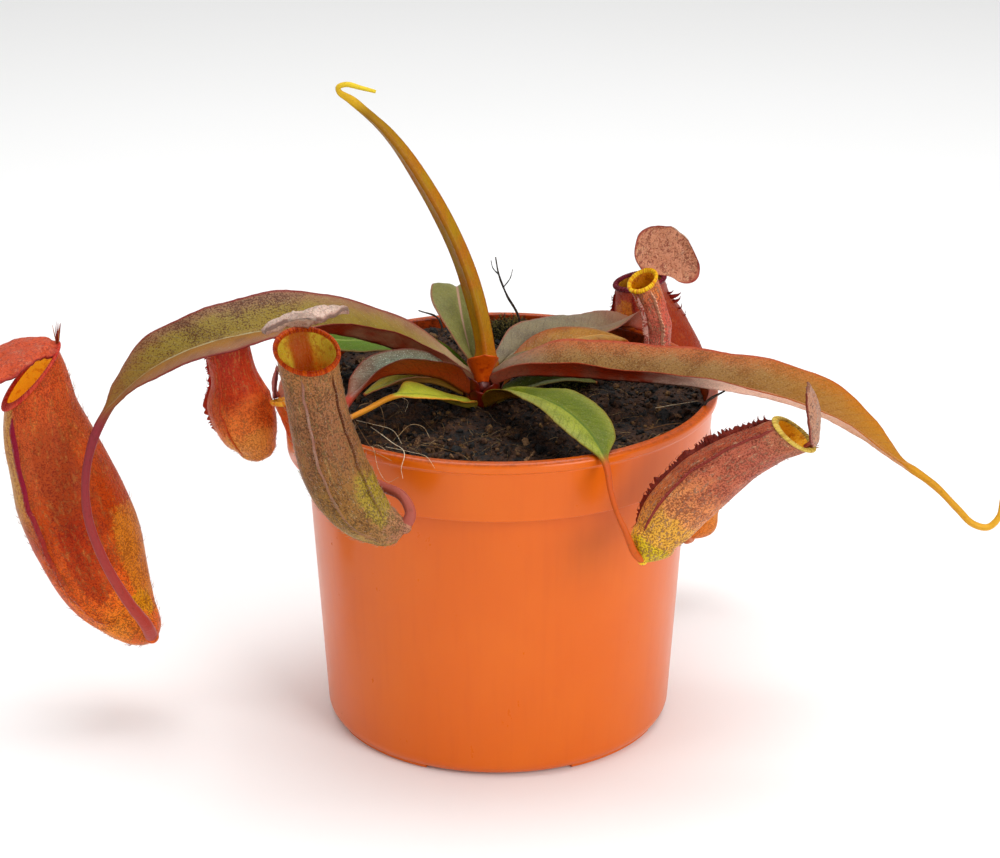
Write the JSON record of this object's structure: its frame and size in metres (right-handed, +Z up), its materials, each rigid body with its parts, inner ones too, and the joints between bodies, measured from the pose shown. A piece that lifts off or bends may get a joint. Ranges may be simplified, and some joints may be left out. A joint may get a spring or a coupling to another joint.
{
  "type": "potted pitcher plant",
  "caption": "Tropical pitcher plant in a round orange plastic nursery pot: leaves run out into tendrils that carry hanging lidded pitchers over the rim",
  "frame": {"origin": "Centre of the pot's underside, on the flat face of its centre hub, at the level that its feet stand on.", "axes": "+Z is up along the pot's axis. -Y is the front that the picture sees. +X is to the right in the picture, and the plant spreads furthest along X."},
  "size_m": [0.3076, 0.1711, 0.1947],
  "materials": {
    "stem": "satin",
    "leaf_young_upright": "satin",
    "leaf_small_back": "satin",
    "leaf_far_left": "satin",
    "leaf_long_right": "satin",
    "leaf_back_right": "satin",
    "leaf_left_back": "satin",
    "leaf_brown_back": "satin",
    "leaf_left_mid": "satin",
    "leaf_olive_left": "satin",
    "leaf_olive_right": "satin",
    "leaf_front_right": "satin",
    "leaf_yellow_green": "satin",
    "pitcher_far_left": "satin",
    "lid_far_left": "satin",
    "pitcher_front_left": "satin",
    "lid_front_left": "satin",
    "pitcher_left_back": "satin",
    "lid_left_back": "satin",
    "pitcher_small_left": "satin",
    "lid_small_left": "satin",
    "pitcher_front_right": "satin",
    "lid_front_right": "satin",
    "pitcher_back_right": "satin",
    "lid_back_right": "satin",
    "pitcher_far_back_right": "satin",
    "lid_far_back_right": "satin",
    "twig": "matte",
    "moss": "matte",
    "soil": "matte",
    "pot": "gloss"
  },
  "bodies": {
    "root": {"stem": "stem", "leaf_young_upright": "leaf_young_upright", "leaf_small_back": "leaf_small_back", "leaf_far_left": "leaf_far_left", "leaf_long_right": "leaf_long_right", "leaf_back_right": "leaf_back_right", "leaf_left_back": "leaf_left_back", "leaf_brown_back": "leaf_brown_back", "leaf_left_mid": "leaf_left_mid", "leaf_olive_left": "leaf_olive_left", "leaf_olive_right": "leaf_olive_right", "leaf_front_right": "leaf_front_right", "leaf_yellow_green": "leaf_yellow_green", "pitcher_far_left": "pitcher_far_left", "lid_far_left": "lid_far_left", "pitcher_front_left": "pitcher_front_left", "lid_front_left": "lid_front_left", "pitcher_left_back": "pitcher_left_back", "lid_left_back": "lid_left_back", "pitcher_small_left": "pitcher_small_left", "lid_small_left": "lid_small_left", "pitcher_front_right": "pitcher_front_right", "lid_front_right": "lid_front_right", "pitcher_back_right": "pitcher_back_right", "lid_back_right": "lid_back_right", "pitcher_far_back_right": "pitcher_far_back_right", "lid_far_back_right": "lid_far_back_right", "twig_back": "twig", "twig_right": "twig", "twig_left": "twig", "moss_right": "moss", "moss_back": "moss", "soil": "soil", "pot": "pot"}
  },
  "joints": []
}
